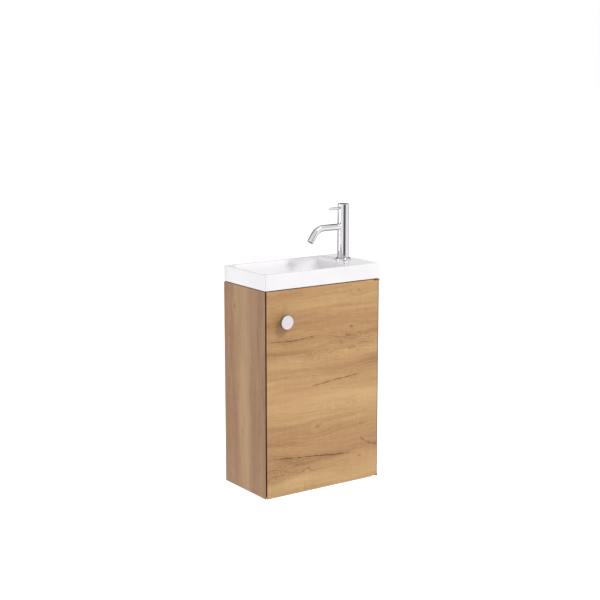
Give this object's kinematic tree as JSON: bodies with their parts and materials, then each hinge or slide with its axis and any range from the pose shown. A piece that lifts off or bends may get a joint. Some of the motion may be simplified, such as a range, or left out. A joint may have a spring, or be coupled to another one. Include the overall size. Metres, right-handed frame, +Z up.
{
  "type": "cloakroom vanity unit",
  "caption": "Wall-hung one-door oak-look cabinet with a slim white slab basin, a side pillar tap and a bottle trap inside.",
  "frame": {"origin": "on the wall plane, at the centre of the rear hanging rail's back face", "axes": "+X to the right seen from the front, +Y into the wall, +Z up"},
  "size_m": [0.4017, 0.2425, 0.817],
  "materials": {
    "oak_decor": "satin oak-look decor with visible grain",
    "carcass_board": "melamine oak-look board",
    "back_board": "white melamine fibreboard",
    "beech": "raw fluted beech",
    "ceramic": "white gloss glaze",
    "sealant": "dark cured bead",
    "chrome": "polished chrome plate",
    "brushed_knob": "satin brushed",
    "hinge_lacquer": "brown lacquered steel",
    "zinc_steel": "bright zinc plate",
    "brass": "machined",
    "black_rubber": "matt",
    "clear_rubber": "translucent soft",
    "nylon": "natural nylon",
    "aerator_plastic": "grey moulded mesh",
    "white_plastic": "moulded",
    "trap_plastic": "white polypropylene"
  },
  "bodies": {
    "cabinet": {"back_panel": "back_board", "basin": "ceramic", "basin_bed": "sealant", "bottom_panel": "carcass_board", "cam_bolts": "zinc_steel", "cam_discs": "zinc_steel", "carcass_dowels": "beech", "catch_body": "white_plastic", "catch_screws": "zinc_steel", "front_top_rail": "carcass_board", "hanger_adjusters": "zinc_steel", "hanger_hooks": "zinc_steel", "hanger_left": "white_plastic", "hanger_right": "white_plastic", "hanger_screws": "zinc_steel", "hinge_leaf_fixed_bottom": "hinge_lacquer", "hinge_leaf_fixed_top": "hinge_lacquer", "hinge_screws_cabinet": "zinc_steel", "hinge_washers": "nylon", "rear_top_rail": "carcass_board", "shelf": "carcass_board", "shelf_pins": "zinc_steel", "side_panel_left": "oak_decor", "side_panel_right": "oak_decor", "tap_aerator": "aerator_plastic", "tap_backnut": "brass", "tap_base_ring": "chrome", "tap_body": "chrome", "tap_cartridge": "brass", "tap_seal": "black_rubber", "tap_shank": "brass", "tap_spout": "chrome", "tap_washer": "black_rubber", "trap_body": "trap_plastic", "trap_cup": "trap_plastic", "trap_inlet_nut": "trap_plastic", "trap_inlet_pipe": "trap_plastic", "trap_outlet_nut": "trap_plastic", "trap_outlet_pipe": "trap_plastic", "wall_plates": "zinc_steel", "waste_backnut": "brass", "waste_body": "chrome", "waste_seal": "black_rubber", "waste_washer": "black_rubber"},
    "door": {"door_panel": "oak_decor", "door_knob": "brushed_knob", "knob_screw": "zinc_steel", "door_bumpers": "clear_rubber", "catch_strike": "zinc_steel", "strike_screws": "zinc_steel", "hinge_leaf_door_bottom": "hinge_lacquer", "hinge_leaf_door_top": "hinge_lacquer", "hinge_screws_door": "zinc_steel"},
    "tap_handle": {"tap_handle": "chrome", "tap_lever": "chrome", "tap_spindle": "brass"},
    "waste_plug": {"waste_plug": "chrome"}
  },
  "joints": [
    {"name": "door_swing", "type": "hinge", "parent": "cabinet", "child": "door", "pos_m": [0.1985, -0.2185, -0.26625], "axis": [0, 0, 1], "range_deg": [0, 110]},
    {"name": "tap_turn", "type": "hinge", "parent": "cabinet", "child": "tap_handle", "pos_m": [0.148, -0.11, 0.2325], "axis": [0, 0, 1], "range_deg": [0, 90]},
    {"name": "plug_press", "type": "slide", "parent": "cabinet", "child": "waste_plug", "axis": [0, 0, 1], "range_m": [-0.008, 0], "stiffness_N_per_m": 150, "springref_m": 0.012}
  ]
}
